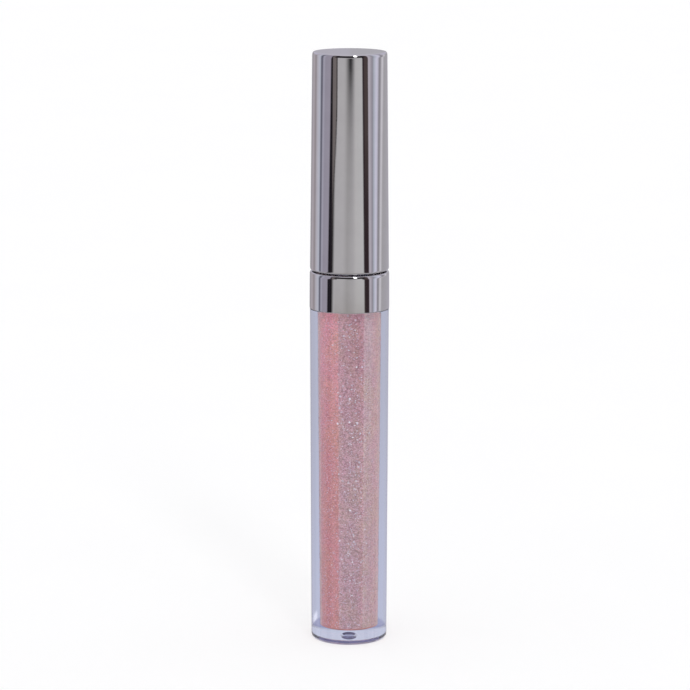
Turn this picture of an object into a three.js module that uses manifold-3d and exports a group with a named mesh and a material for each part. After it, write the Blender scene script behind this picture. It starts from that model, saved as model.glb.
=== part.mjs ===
// Lip gloss tube: a thick-walled clear bottle with a metallised collar, and a tall metallised
// screw cap that carries the doe-foot wand. Millimetres, +Z up.
// Origin: centre of the flat ring that the bottle stands on.

import * as THREE from 'three';
import { mergeVertices } from 'three/addons/utils/BufferGeometryUtils.js';
import Module from 'manifold-3d';

const wasm = await Module();
wasm.setup();

// Facets in a full turn, and steps in a rounded corner.
const ROUND_SEGMENTS = 64;
const FOOT_SEGMENTS = 32;
const CORNER_STEPS = 4;
const FULL_TURN = 2 * Math.PI;

// Clearance between pieces that are assembled together.
const SEAT_GAP = 0.03;

// Bottle body.
const BASE_RADIUS = 7.66;
const SHOULDER_RADIUS = 7.92;
const SHOULDER_HEIGHT = 68;
const HEEL_WIDTH = 0.6;
const HEEL_HEIGHT = 0.5;
const SHOULDER_CORNER = 0.15;
const RECESS_RADIUS = 6.2;
const RECESS_DEPTH = 0.6;
const RECESS_CORNER = 0.15;
const GATE_DIMPLE_RADIUS = 1.1;
const GATE_DIMPLE_DEPTH = 0.8;
const CAVITY_FLOOR = 2.3;
const CAVITY_FLOOR_RADIUS = 3.62;
const CAVITY_CORNER = 0.3;

// Bottle neck: the seat of the collar, then the threaded finish.
const SEAT_RADIUS = 6.85;
const SEAT_TOP = 74.6;
const NECK_RADIUS = 5.25;
const NECK_BORE_RADIUS = 3.975;
const NECK_TOP = 86.5;
const NECK_CHAMFER = 0.2;

// Single-start right-hand thread: the bottle's tooth, and the cap's tooth half a pitch below it.
const THREAD_LEAD = 2.4;
const THREAD_START = 79.4;
const THREAD_TURNS = 1.5;
const THREAD_CREST_RADIUS = 5.9;
const TOOTH_BASE_WIDTH = 1.4;
const TOOTH_CREST_WIDTH = 0.8;
const TOOTH_EMBED = 0.2;
const TOOTH_FADE = FULL_TURN / 12;
const CAP_THREAD_TURNS = 1;
const CAP_THREAD_START_TURN = 1 / 8;
const CAP_THREAD_CREST_RADIUS = 5.45;

// Collar.
const COLLAR_RADIUS = 8;
const COLLAR_TOP_RADIUS = 7.96;
const COLLAR_TOP = 75.5;
const COLLAR_WALL = 1.05;
const COLLAR_MOUTH_RADIUS = 6.05;
const COLLAR_FLOOR_CORNER = 0.3;
const COLLAR_TOP_CORNER_WIDTH = 0.25;
const COLLAR_TOP_CORNER_HEIGHT = 0.65;

// Wiper plug.
const WIPER_PLUG_RADIUS = 3.93;
const WIPER_WALL = 0.5;
const WIPER_FLANGE_RADIUS = 5.15;
const WIPER_FLANGE_THICKNESS = 0.67;
const WIPER_FUNNEL_TOP = 79.3;
const WIPER_LIP_HEIGHT = 76.9;
const WIPER_LIP_THICKNESS = 0.45;
const WIPER_ORIFICE_RADIUS = 1.62;

// Gloss, with the channel that the wand and its flocked tip pass along.
const GLOSS_LEVEL = 72;
const GLOSS_CHANNEL_RADIUS = 2.4;
const GLOSS_CHANNEL_FLOOR = 4.3;

// Cap shell.
const CAP_BOTTOM = 75.8;
const CAP_TOP = 119.35;
const CAP_BOTTOM_RADIUS = 7.9;
const CAP_TOP_RADIUS = 7.45;
const CAP_WALL = 0.8;
const CAP_ROOF = 1.1;
const CAP_MOUTH_CORNER = 0.4;
const CAP_TOP_CORNER_WIDTH = 0.35;
const CAP_TOP_CORNER_HEIGHT = 0.7;

// Cap liner: threaded skirt, ceiling, and the socket for the wand.
const LINER_BOTTOM = 76.3;
const LINER_CEILING = 88;
const LINER_TOP = 89.2;
const LINER_BORE_RADIUS = 6.1;
const LINER_RADIUS = 6.6;
const LINER_FLANGE_RADIUS = 7;
const LINER_FLANGE_THICKNESS = 0.8;
const LINER_RIB_COUNT = 12;
const LINER_RIB_WIDTH = 0.6;
const LINER_RIB_RADIUS = 6.87;
const SOCKET_RADIUS = 3.2;
const SOCKET_BORE_RADIUS = 1.95;
const SOCKET_FLOOR = 96.6;
const SOCKET_TOP = 97.6;

// Cap gasket and weight.
const GASKET_RADIUS = 5.15;
const GASKET_BORE_RADIUS = 2;
const GASKET_THICKNESS = 0.74;
const WEIGHT_RADIUS = 6.5;
const WEIGHT_LENGTH = 11.7;
const WEIGHT_CHAMFER = 0.4;

// Wand stem.
const STEM_RADIUS = 1.5;
const STEM_BOTTOM = 16.2;
const STEM_TOP = 96.3;
const STEM_HEAD_RADIUS = 1.9;
const STEM_HEAD_GROOVE = 0.2;
const STEM_BARB_COUNT = 3;
const STEM_BARB_PITCH = 2.4;
const STEM_SHOULDER_RADIUS = 2.6;
const STEM_SHOULDER_THICKNESS = 0.7;
const STEM_BORE_RADIUS = 0.85;
const STEM_BORE_TOP = 21.2;

// Doe-foot applicator: a soft core in a coat of flock, cut to a slanted face.
const FOOT_TIP = 5;
const FOOT_RADIUS = 2.15;
const FOOT_SLANT = THREE.MathUtils.degToRad(14);
const FOOT_CUT_OFFSET = 0.35;
const FLOCK_TOP = 15.6;
const FLOCK_THICKNESS = 0.65;
const FLOCK_GLUE_GAP = 0.05;
const SPIGOT_RADIUS = 0.8;
const SPIGOT_TOP = 21;

// ---------------------------------------------------------------- profiles and solids

const point = (radius, height) => new THREE.Vector2(radius, height);

// Points of an arc in a lathe profile, about a centre, between two angles in degrees. The arc is
// circular unless its half height is given.
function arc(centreRadius, centreHeight, radius, fromDegrees, toDegrees, halfHeight = radius) {
  const points = [];
  for (let step = 0; step <= CORNER_STEPS; step += 1) {
    const degrees = fromDegrees + ((toDegrees - fromDegrees) * step) / CORNER_STEPS;
    const angle = THREE.MathUtils.degToRad(degrees);
    points.push(point(centreRadius + radius * Math.cos(angle), centreHeight + halfHeight * Math.sin(angle)));
  }
  return points;
}

// A profile turned about Z. It runs anticlockwise in the radius-height plane.
function turned(points, segments = ROUND_SEGMENTS) {
  const geometry = new THREE.LatheGeometry(points, segments);
  geometry.rotateX(Math.PI / 2);
  return geometry;
}

// A profile that closes on itself, turned into a ring.
const turnedRing = (points) => turned([...points, points[0]]);

function toSolid(geometry) {
  const bare = geometry.clone();
  bare.deleteAttribute('normal');
  bare.deleteAttribute('uv');
  const merged = mergeVertices(bare);
  const corners = merged.index.array;
  const triangles = [];
  for (let first = 0; first < corners.length; first += 3) {
    const [a, b, c] = corners.slice(first, first + 3);
    if (a !== b && b !== c && c !== a) {
      triangles.push(a, b, c);
    }
  }
  const mesh = new wasm.Mesh({
    numProp: 3,
    vertProperties: new Float32Array(merged.getAttribute('position').array),
    triVerts: new Uint32Array(triangles),
  });
  return new wasm.Manifold(mesh);
}

function toGeometry(solid) {
  const mesh = solid.getMesh();
  const geometry = new THREE.BufferGeometry();
  geometry.setAttribute('position', new THREE.BufferAttribute(new Float32Array(mesh.vertProperties), 3));
  geometry.setIndex(new THREE.BufferAttribute(new Uint32Array(mesh.triVerts), 1));
  geometry.computeVertexNormals();
  return geometry;
}

// A straight tooth wound into a right-hand helix. The tooth stands on rootRadius, is buried a
// little in the wall behind it, and sinks into the wall at both ends.
function threadTooth(rootRadius, crestRadius, startHeight, startTurn, turns) {
  const outward = Math.sign(crestRadius - rootRadius);
  const buriedRadius = rootRadius - outward * TOOTH_EMBED;
  const section = new THREE.Shape([
    point(buriedRadius, -TOOTH_BASE_WIDTH / 2),
    point(rootRadius, -TOOTH_BASE_WIDTH / 2),
    point(crestRadius, -TOOTH_CREST_WIDTH / 2),
    point(crestRadius, TOOTH_CREST_WIDTH / 2),
    point(rootRadius, TOOTH_BASE_WIDTH / 2),
    point(buriedRadius, TOOTH_BASE_WIDTH / 2),
  ]);
  const sweep = turns * FULL_TURN;
  const geometry = new THREE.ExtrudeGeometry(section, {
    depth: sweep,
    steps: Math.round(turns * ROUND_SEGMENTS),
    bevelEnabled: false,
  });
  const sunkRadius = (rootRadius + buriedRadius) / 2;
  const position = geometry.getAttribute('position');
  for (let vertex = 0; vertex < position.count; vertex += 1) {
    const along = position.getZ(vertex);
    const rise = THREE.MathUtils.smoothstep(Math.min(along, sweep - along), 0, TOOTH_FADE);
    const above = Math.max(0, (position.getX(vertex) - sunkRadius) * outward);
    const radius = above > 0 ? sunkRadius + outward * above * rise : position.getX(vertex);
    const angle = startTurn * FULL_TURN + sweep - along;
    const height = startHeight + (THREAD_LEAD * angle) / FULL_TURN + position.getY(vertex);
    position.setXYZ(vertex, radius * Math.cos(angle), radius * Math.sin(angle), height);
  }
  return toSolid(geometry);
}

// The doe-foot outline, drawn in by an inset: a round-ended rod with one face cut at a slant.
function doeFoot(inset, topHeight) {
  const radius = FOOT_RADIUS - inset;
  const tip = FOOT_TIP + inset;
  const rod = toSolid(turned([
    point(0, tip),
    ...arc(0, tip + radius, radius, -90, 0).slice(1),
    point(radius, topHeight),
    point(0, topHeight),
  ], FOOT_SEGMENTS));
  const reach = 4 * FLOCK_TOP;
  const cutter = new THREE.BoxGeometry(reach, reach, 2 * reach);
  cutter.translate(reach / 2 - inset, 0, 0);
  cutter.rotateY(FOOT_SLANT);
  cutter.translate(FOOT_CUT_OFFSET, 0, FOOT_TIP);
  return rod.subtract(toSolid(cutter));
}

// ---------------------------------------------------------------- bottle side

function bottle() {
  const body = toSolid(turned([
    point(0, RECESS_DEPTH + GATE_DIMPLE_DEPTH),
    ...arc(0, RECESS_DEPTH, GATE_DIMPLE_RADIUS, 90, 0, GATE_DIMPLE_DEPTH).slice(1),
    ...arc(RECESS_RADIUS - RECESS_CORNER, RECESS_DEPTH - RECESS_CORNER, RECESS_CORNER, 90, 0),
    point(RECESS_RADIUS, 0),
    ...arc(BASE_RADIUS - HEEL_WIDTH, HEEL_HEIGHT, HEEL_WIDTH, -90, 0, HEEL_HEIGHT),
    ...arc(SHOULDER_RADIUS - SHOULDER_CORNER, SHOULDER_HEIGHT - SHOULDER_CORNER, SHOULDER_CORNER, 0, 90),
    point(SEAT_RADIUS, SHOULDER_HEIGHT),
    point(SEAT_RADIUS, SEAT_TOP),
    point(NECK_RADIUS, SEAT_TOP),
    point(NECK_RADIUS, NECK_TOP - NECK_CHAMFER),
    point(NECK_RADIUS - NECK_CHAMFER, NECK_TOP),
    point(NECK_BORE_RADIUS + NECK_CHAMFER, NECK_TOP),
    point(NECK_BORE_RADIUS, NECK_TOP - NECK_CHAMFER),
    point(NECK_BORE_RADIUS, SHOULDER_HEIGHT),
    ...arc(CAVITY_FLOOR_RADIUS - CAVITY_CORNER, CAVITY_FLOOR + CAVITY_CORNER, CAVITY_CORNER, 0, -90),
    point(0, CAVITY_FLOOR),
  ]));
  const tooth = threadTooth(NECK_RADIUS, THREAD_CREST_RADIUS, THREAD_START, 0, THREAD_TURNS);
  return toGeometry(body.add(tooth));
}

function collarRing() {
  const floor = SHOULDER_HEIGHT + SEAT_GAP;
  const boreRadius = COLLAR_RADIUS - COLLAR_WALL;
  const ceiling = SEAT_TOP + SEAT_GAP;
  const rimRadius = COLLAR_TOP_RADIUS - COLLAR_TOP_CORNER_WIDTH;
  const rimHeight = COLLAR_TOP - COLLAR_TOP_CORNER_HEIGHT;
  return turnedRing([
    point(boreRadius, floor),
    ...arc(COLLAR_RADIUS - COLLAR_FLOOR_CORNER, floor + COLLAR_FLOOR_CORNER, COLLAR_FLOOR_CORNER, -90, 0),
    ...arc(rimRadius, rimHeight, COLLAR_TOP_CORNER_WIDTH, 0, 90, COLLAR_TOP_CORNER_HEIGHT),
    point(COLLAR_MOUTH_RADIUS, COLLAR_TOP),
    point(COLLAR_MOUTH_RADIUS, ceiling),
    point(boreRadius, ceiling),
  ]);
}

function wiper() {
  const flangeFloor = NECK_TOP + SEAT_GAP;
  const flangeTop = flangeFloor + WIPER_FLANGE_THICKNESS;
  const boreRadius = WIPER_PLUG_RADIUS - WIPER_WALL;
  return turnedRing([
    point(WIPER_ORIFICE_RADIUS, WIPER_LIP_HEIGHT),
    point(WIPER_ORIFICE_RADIUS + WIPER_LIP_THICKNESS, WIPER_LIP_HEIGHT),
    point(WIPER_PLUG_RADIUS, WIPER_FUNNEL_TOP - WIPER_LIP_THICKNESS),
    point(WIPER_PLUG_RADIUS, flangeFloor),
    point(WIPER_FLANGE_RADIUS, flangeFloor),
    point(WIPER_FLANGE_RADIUS, flangeTop),
    point(boreRadius + NECK_CHAMFER, flangeTop),
    point(boreRadius, flangeTop - NECK_CHAMFER),
    point(boreRadius, WIPER_FUNNEL_TOP),
    point(WIPER_ORIFICE_RADIUS, WIPER_LIP_HEIGHT + WIPER_LIP_THICKNESS),
  ]);
}

function glossFill() {
  const floor = CAVITY_FLOOR + SEAT_GAP;
  const floorRadius = CAVITY_FLOOR_RADIUS - SEAT_GAP;
  return turned([
    point(0, floor),
    ...arc(floorRadius - CAVITY_CORNER, floor + CAVITY_CORNER, CAVITY_CORNER, -90, 0),
    point(NECK_BORE_RADIUS - SEAT_GAP, SHOULDER_HEIGHT),
    point(NECK_BORE_RADIUS - SEAT_GAP, GLOSS_LEVEL),
    point(GLOSS_CHANNEL_RADIUS, GLOSS_LEVEL),
    point(GLOSS_CHANNEL_RADIUS, GLOSS_CHANNEL_FLOOR),
    point(0, GLOSS_CHANNEL_FLOOR),
  ]);
}

// ---------------------------------------------------------------- cap side

function capShell() {
  const roof = CAP_TOP - CAP_ROOF;
  const rimRadius = CAP_TOP_RADIUS - CAP_TOP_CORNER_WIDTH;
  const rimHeight = CAP_TOP - CAP_TOP_CORNER_HEIGHT;
  return turned([
    point(0, roof),
    point(CAP_TOP_RADIUS - CAP_WALL, roof),
    point(CAP_BOTTOM_RADIUS - CAP_WALL, CAP_BOTTOM),
    ...arc(CAP_BOTTOM_RADIUS - CAP_MOUTH_CORNER, CAP_BOTTOM + CAP_MOUTH_CORNER, CAP_MOUTH_CORNER, -90, 0),
    ...arc(rimRadius, rimHeight, CAP_TOP_CORNER_WIDTH, 0, 90, CAP_TOP_CORNER_HEIGHT),
    point(0, CAP_TOP),
  ]);
}

function linerRib(index) {
  const ribHeight = LINER_TOP - LINER_BOTTOM - LINER_FLANGE_THICKNESS / 2;
  const ribDepth = LINER_RIB_RADIUS - LINER_BORE_RADIUS - TOOTH_EMBED;
  const rib = new THREE.BoxGeometry(ribDepth, LINER_RIB_WIDTH, ribHeight);
  rib.translate(LINER_RIB_RADIUS - ribDepth / 2, 0, LINER_TOP - ribHeight / 2);
  rib.rotateZ((index * FULL_TURN) / LINER_RIB_COUNT);
  return toSolid(rib);
}

function capLiner() {
  let liner = toSolid(turned([
    point(0, SOCKET_FLOOR),
    point(SOCKET_BORE_RADIUS, SOCKET_FLOOR),
    point(SOCKET_BORE_RADIUS, LINER_CEILING),
    point(LINER_BORE_RADIUS, LINER_CEILING),
    point(LINER_BORE_RADIUS, LINER_BOTTOM),
    point(LINER_FLANGE_RADIUS, LINER_BOTTOM),
    point(LINER_FLANGE_RADIUS, LINER_BOTTOM + LINER_FLANGE_THICKNESS),
    point(LINER_RADIUS, LINER_BOTTOM + LINER_FLANGE_THICKNESS),
    point(LINER_RADIUS, LINER_TOP),
    point(SOCKET_RADIUS, LINER_TOP),
    point(SOCKET_RADIUS, SOCKET_TOP),
    point(0, SOCKET_TOP),
  ]));
  for (let index = 0; index < LINER_RIB_COUNT; index += 1) {
    liner = liner.add(linerRib(index));
  }
  const tooth = threadTooth(
    LINER_BORE_RADIUS,
    CAP_THREAD_CREST_RADIUS,
    THREAD_START - THREAD_LEAD / 2,
    CAP_THREAD_START_TURN,
    CAP_THREAD_TURNS,
  );
  return toGeometry(liner.add(tooth));
}

function capGasket() {
  const top = LINER_CEILING - SEAT_GAP;
  const floor = top - GASKET_THICKNESS;
  return turnedRing([
    point(GASKET_BORE_RADIUS, floor),
    point(GASKET_RADIUS, floor),
    point(GASKET_RADIUS, top),
    point(GASKET_BORE_RADIUS, top),
  ]);
}

function capWeight() {
  const top = CAP_TOP - CAP_ROOF - SEAT_GAP;
  const floor = top - WEIGHT_LENGTH;
  return turned([
    point(0, floor),
    point(WEIGHT_RADIUS - WEIGHT_CHAMFER, floor),
    point(WEIGHT_RADIUS, floor + WEIGHT_CHAMFER),
    point(WEIGHT_RADIUS, top - WEIGHT_CHAMFER),
    point(WEIGHT_RADIUS - WEIGHT_CHAMFER, top),
    point(0, top),
  ]);
}

// The stem's head is barbed, and a shoulder under it holds the gasket up.
function wandStem() {
  const shoulderTop = LINER_CEILING - GASKET_THICKNESS - 2 * SEAT_GAP;
  const shoulderFloor = shoulderTop - STEM_SHOULDER_THICKNESS;
  const barbs = [];
  for (let barb = STEM_BARB_COUNT - 1; barb >= 0; barb -= 1) {
    const barbFloor = STEM_TOP - (barb + 1) * STEM_BARB_PITCH;
    barbs.push(point(STEM_HEAD_RADIUS, barbFloor));
    barbs.push(point(STEM_HEAD_RADIUS - STEM_HEAD_GROOVE, barbFloor + STEM_BARB_PITCH));
  }
  return turned([
    point(0, STEM_BORE_TOP),
    point(STEM_BORE_RADIUS, STEM_BORE_TOP),
    point(STEM_BORE_RADIUS, STEM_BOTTOM),
    point(STEM_RADIUS, STEM_BOTTOM),
    point(STEM_RADIUS, shoulderFloor - STEM_SHOULDER_THICKNESS),
    point(STEM_SHOULDER_RADIUS, shoulderFloor),
    point(STEM_SHOULDER_RADIUS, shoulderTop),
    point(STEM_HEAD_RADIUS - STEM_HEAD_GROOVE, shoulderTop),
    ...barbs,
    point(0, STEM_TOP),
  ], FOOT_SEGMENTS);
}

function applicatorCore() {
  const foot = doeFoot(FLOCK_THICKNESS, STEM_BOTTOM - SEAT_GAP);
  const spigot = toSolid(turned([
    point(0, FLOCK_TOP),
    point(SPIGOT_RADIUS, FLOCK_TOP),
    point(SPIGOT_RADIUS, SPIGOT_TOP),
    point(0, SPIGOT_TOP),
  ], FOOT_SEGMENTS));
  return toGeometry(foot.add(spigot));
}

function applicatorFlocking() {
  const coat = doeFoot(0, FLOCK_TOP);
  const hollow = doeFoot(FLOCK_THICKNESS - FLOCK_GLUE_GAP, FLOCK_TOP + FOOT_RADIUS);
  return toGeometry(coat.subtract(hollow));
}

// ---------------------------------------------------------------- materials and scene graph

const clearPlastic = () => new THREE.MeshStandardMaterial({
  color: 0xcfd4e6, roughness: 0.05, metalness: 0, transparent: true, opacity: 0.35,
});
const mirrorMetal = () => new THREE.MeshStandardMaterial({ color: 0xd2d0d4, roughness: 0.06, metalness: 1 });
const shimmerGloss = () => new THREE.MeshStandardMaterial({ color: 0xc48c95, roughness: 0.25, metalness: 0.1 });
const milkyPlastic = () => new THREE.MeshStandardMaterial({ color: 0xe6e4de, roughness: 0.4, metalness: 0 });
const softWiper = () => new THREE.MeshStandardMaterial({ color: 0xdedfe2, roughness: 0.35, metalness: 0 });
const whiteFoam = () => new THREE.MeshStandardMaterial({ color: 0xf0efea, roughness: 0.9, metalness: 0 });
const plainSteel = () => new THREE.MeshStandardMaterial({ color: 0x8f9296, roughness: 0.4, metalness: 1 });
const whiteRod = () => new THREE.MeshStandardMaterial({ color: 0xebe8e2, roughness: 0.3, metalness: 0 });
const softCore = () => new THREE.MeshStandardMaterial({ color: 0xe9ddd8, roughness: 0.6, metalness: 0 });
const flock = () => new THREE.MeshStandardMaterial({ color: 0xe3b9bd, roughness: 0.95, metalness: 0 });

function piece(name, geometry, material) {
  const mesh = new THREE.Mesh(geometry, material);
  mesh.name = name;
  return mesh;
}

const bottleSide = new THREE.Group();
bottleSide.add(
  piece('bottle', bottle(), clearPlastic()),
  piece('gloss_fill', glossFill(), shimmerGloss()),
  piece('collar_ring', collarRing(), mirrorMetal()),
  piece('wiper', wiper(), softWiper()),
);

const capSide = new THREE.Group();
capSide.add(
  piece('cap_shell', capShell(), mirrorMetal()),
  piece('cap_liner', capLiner(), milkyPlastic()),
  piece('cap_gasket', capGasket(), whiteFoam()),
  piece('cap_weight', capWeight(), plainSteel()),
  piece('wand_stem', wandStem(), whiteRod()),
  piece('applicator_core', applicatorCore(), softCore()),
  piece('applicator_flocking', applicatorFlocking(), flock()),
);

const glossTube = new THREE.Group();
glossTube.add(bottleSide, capSide);

export default glossTube;
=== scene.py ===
"""Lip gloss tube: the looks of every piece, the studio and the camera."""

import math

import bmesh
import bpy
import numpy as np
from mathutils import Euler, Matrix, Vector


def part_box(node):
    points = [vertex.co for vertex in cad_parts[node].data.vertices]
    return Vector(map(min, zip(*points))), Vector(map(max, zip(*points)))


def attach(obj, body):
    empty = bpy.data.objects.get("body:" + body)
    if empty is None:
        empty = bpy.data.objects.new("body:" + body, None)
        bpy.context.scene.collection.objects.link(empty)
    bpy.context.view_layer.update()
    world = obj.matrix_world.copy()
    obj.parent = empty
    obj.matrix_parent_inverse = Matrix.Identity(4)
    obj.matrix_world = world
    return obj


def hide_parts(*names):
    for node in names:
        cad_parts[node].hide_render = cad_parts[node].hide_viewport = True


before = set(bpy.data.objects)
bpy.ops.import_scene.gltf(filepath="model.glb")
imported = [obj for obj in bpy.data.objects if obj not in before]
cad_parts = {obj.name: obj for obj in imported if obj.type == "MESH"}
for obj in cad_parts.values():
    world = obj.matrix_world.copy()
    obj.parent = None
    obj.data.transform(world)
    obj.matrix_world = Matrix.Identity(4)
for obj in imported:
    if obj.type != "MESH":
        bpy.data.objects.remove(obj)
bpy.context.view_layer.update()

MM = 0.001
TURN = 2 * math.pi
SEED = 20
SEGMENTS = 160
EASE = 0.05  # distance from a corner at which a smooth surface is held, in mm
SKIN = 0.03  # how far the wet gloss reaches into the clear wall, in mm
FIT = 0.03  # clearance between pieces that are pressed or moulded together, in mm
EDGE = 0.15  # rounding of a moulded edge, in mm
FINE_EDGE = 0.1  # the same on small pieces

# ------------------------------------------------------------------ sizes, in mm, from the frame


def span(node):
    """(largest radius, lowest height, highest height) of a CAD node, in mm."""
    low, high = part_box(node)
    return high.x / MM, low.z / MM, high.z / MM


COLLAR_RADIUS, COLLAR_LOW, COLLAR_TOP = span("collar_ring")
CAP_RADIUS, CAP_LOW, CAP_TOP = span("cap_shell")
SHOULDER_RADIUS, _, NECK_TOP = span("bottle")
BORE_RADIUS, CAVITY_FLOOR, GLOSS_LEVEL = span("gloss_fill")
WIPER_FLANGE_RADIUS, WIPER_LOW, WIPER_TOP = span("wiper")
LINER_FLANGE_RADIUS, LINER_LOW, LINER_TOP = span("cap_liner")
GASKET_RADIUS, GASKET_LOW, GASKET_TOP = span("cap_gasket")
WEIGHT_RADIUS, WEIGHT_LOW, WEIGHT_TOP = span("cap_weight")
STEM_SHOULDER_RADIUS, STEM_LOW, STEM_TOP = span("wand_stem")
FOOT_RADIUS, FOOT_TIP, FLOCK_TOP = span("applicator_flocking")
CORE_RADIUS, _, CORE_TOP = span("applicator_core")

SHOULDER_HEIGHT = COLLAR_LOW - FIT
NECK_BORE_RADIUS = BORE_RADIUS + FIT
CAVITY_BOTTOM = CAVITY_FLOOR - FIT
LINER_CEILING = GASKET_TOP + FIT
SOCKET_ROOF = LINER_TOP - 1
STEM_RADIUS = CORE_RADIUS
STEM_BORE_ROOF = CORE_TOP + 0.2

# The sizes that the frame doesn't hold.
BASE_RADIUS = 7.66
HEEL_WIDTH = 0.6
HEEL_HEIGHT = 0.5
SEAT_RADIUS = 6.85
SEAT_TOP = 74.6
NECK_RADIUS = 5.25
NECK_LIP = 0.2
CAVITY_RADIUS = 3.62
CAVITY_CORNER = 0.3
RECESS_RADIUS = 6.2
RECESS_DEPTH = 0.6
GATE_RADIUS = 1.1
GATE_DEPTH = 0.8
COLLAR_WALL = 1.05
COLLAR_MOUTH_RADIUS = 6.05
COLLAR_TAPER = 0.04
COLLAR_CORNER_WIDTH = 0.25
COLLAR_CORNER_HEIGHT = 0.65
CAP_TOP_RADIUS = 7.45
CAP_CORNER_WIDTH = 0.35
CAP_CORNER_HEIGHT = 0.7
CAP_MOUTH_EDGE = 0.4
CAP_WALL = 0.8
CAP_ROOF = 1.1
THREAD_LEAD = 2.4
THREAD_START = 79.4
THREAD_TURNS = 1.5
THREAD_DEPTH = 0.65
THREAD_FADE = 1 / 12  # the share of a turn in which it runs out
TOOTH_BASE = 1.4
TOOTH_CREST = 0.8
NECK_THREAD = (78.4, 84)  # the heights that hold it
LINER_THREAD = (77.2, 82.8)
WIPER_PLUG_RADIUS = 3.93
WIPER_WALL = 0.5
WIPER_CONE_TOP = 78.85
WIPER_MOUTH_EDGE = 0.25
WIPER_LIP_RADIUS = 1.62
WIPER_LIP_EDGE = 0.225
LINER_BORE = 6.1
LINER_RADIUS = 6.6
LINER_FLANGE = 0.8
LINER_SHOULDER = 89.2
LINER_RIBS = 12
LINER_RIB_HEIGHT = 0.27
SOCKET_RADIUS = 3.2
SOCKET_BORE = 1.95
GASKET_HOLE_RADIUS = 2.1
WEIGHT_EDGE = 0.4
STEM_HEAD_RADIUS = 1.7
STEM_CONE_HEIGHT = 0.65
STEM_SHOULDER_HEIGHT = 0.75
STEM_BORE = 0.85
BARB_RADIUS = 1.9
BARB_PITCH = 2.4
BARBS = 3
SPIGOT_RADIUS = 0.8
SPIGOT_EDGE = 0.2
FOOT_SLANT = math.radians(14)
FOOT_CUT_OFFSET = 0.35
FIBRE_LENGTH = 0.45
FIBRE_RADIUS = 0.022

# ------------------------------------------------------------------ node trees


class Tree:
    """Builds a shader tree: each node is one call, with its inputs set or linked by name."""

    def __init__(self, tree):
        self.tree = tree
        tree.nodes.clear()

    def add(self, kind, inputs=None, **settings):
        node = self.tree.nodes.new("ShaderNode" + kind)
        for key, value in settings.items():
            setattr(node, key, value)
        for key, value in (inputs or {}).items():
            if isinstance(value, bpy.types.NodeSocket):
                self.tree.links.new(value, node.inputs[key])
            else:
                node.inputs[key].default_value = value
        return node

    def math(self, operation, a, b=0.0, clamp=False):
        return self.add("Math", {0: a, 1: b}, operation=operation, use_clamp=clamp).outputs[0]

    def step(self, value, low, high):
        """0 below low, 1 above high, smooth between."""
        inputs = {"Value": value, "From Min": low, "From Max": high}
        return self.add("MapRange", inputs, interpolation_type="SMOOTHSTEP").outputs[0]

    def fall(self, value, low, high):
        """1 below low, 0 above high, smooth between."""
        return self.math("SUBTRACT", 1.0, self.step(value, low, high))

    def band(self, value, rise, fall):
        """1 between the ranges rise and fall, 0 outside them, smooth across each."""
        return self.math("MULTIPLY", self.step(value, *rise), self.fall(value, *fall))

    def scaled(self, value, low, high, start, end):
        """Straight from start at low to end at high, and level beyond."""
        inputs = {"Value": value, "From Min": low, "From Max": high, "To Min": start, "To Max": end}
        return self.add("MapRange", inputs).outputs[0]

    def distance(self, value, centre):
        return self.math("ABSOLUTE", self.math("SUBTRACT", value, centre))

    def times(self, a, b):
        """The product of two vectors or colours."""
        return self.add("VectorMath", {0: a, 1: b}, operation="MULTIPLY").outputs[0]

    def blend(self, factor, a, b):
        """Colour a where factor is 0, and b where it is 1."""
        return self.add("Mix", {0: factor, 6: a, 7: b}, data_type="RGBA").outputs[2]

    def ramp(self, value, stops, interpolation="LINEAR"):
        """A colour ramp from (place, colour) pairs."""
        node = self.add("ValToRGB", {0: value})
        node.color_ramp.interpolation = interpolation
        elements = node.color_ramp.elements
        while len(elements) < len(stops):
            elements.new(1.0)
        for element, (place, colour) in zip(elements, stops):
            element.position = place
            element.color = colour
        return node.outputs[0]

    def object_place(self, scale=(1, 1, 1)):
        """A point of the piece in its own space, in mm times scale."""
        place = self.add("TexCoord").outputs["Object"]
        return self.times(place, tuple(s / MM for s in scale))

    def noise(self, place, scale, detail=3.0, roughness=0.5):
        inputs = {"Vector": place, "Scale": scale, "Detail": detail, "Roughness": roughness}
        return self.add("TexNoise", inputs).outputs["Fac"]

    def bump(self, height, distance, strength=1.0):
        """A bump that is distance mm deep."""
        inputs = {"Height": height, "Distance": distance * MM, "Strength": strength}
        return self.add("Bump", inputs).outputs[0]

    def rough(self, pattern, low, high):
        """A 0 to 1 pattern as a value from low to high."""
        return self.scaled(pattern, 0.0, 1.0, low, high)

    def surface(self, shader):
        self.add("OutputMaterial", {"Surface": shader.outputs[0]})


def new_material(name):
    material = bpy.data.materials.new(name)
    material.use_nodes = True
    return material, Tree(material.node_tree)


def tone(red, green, blue):
    """A linear colour from the 0 to 255 values that a screen shows."""
    def linear(value):
        value /= 255
        return value / 12.92 if value <= 0.04045 else ((value + 0.055) / 1.055) ** 2.4
    return (linear(red), linear(green), linear(blue), 1.0)


def even(level):
    """A grey of one linear level."""
    return (level, level, level, 1.0)


# ------------------------------------------------------------------ materials


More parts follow.
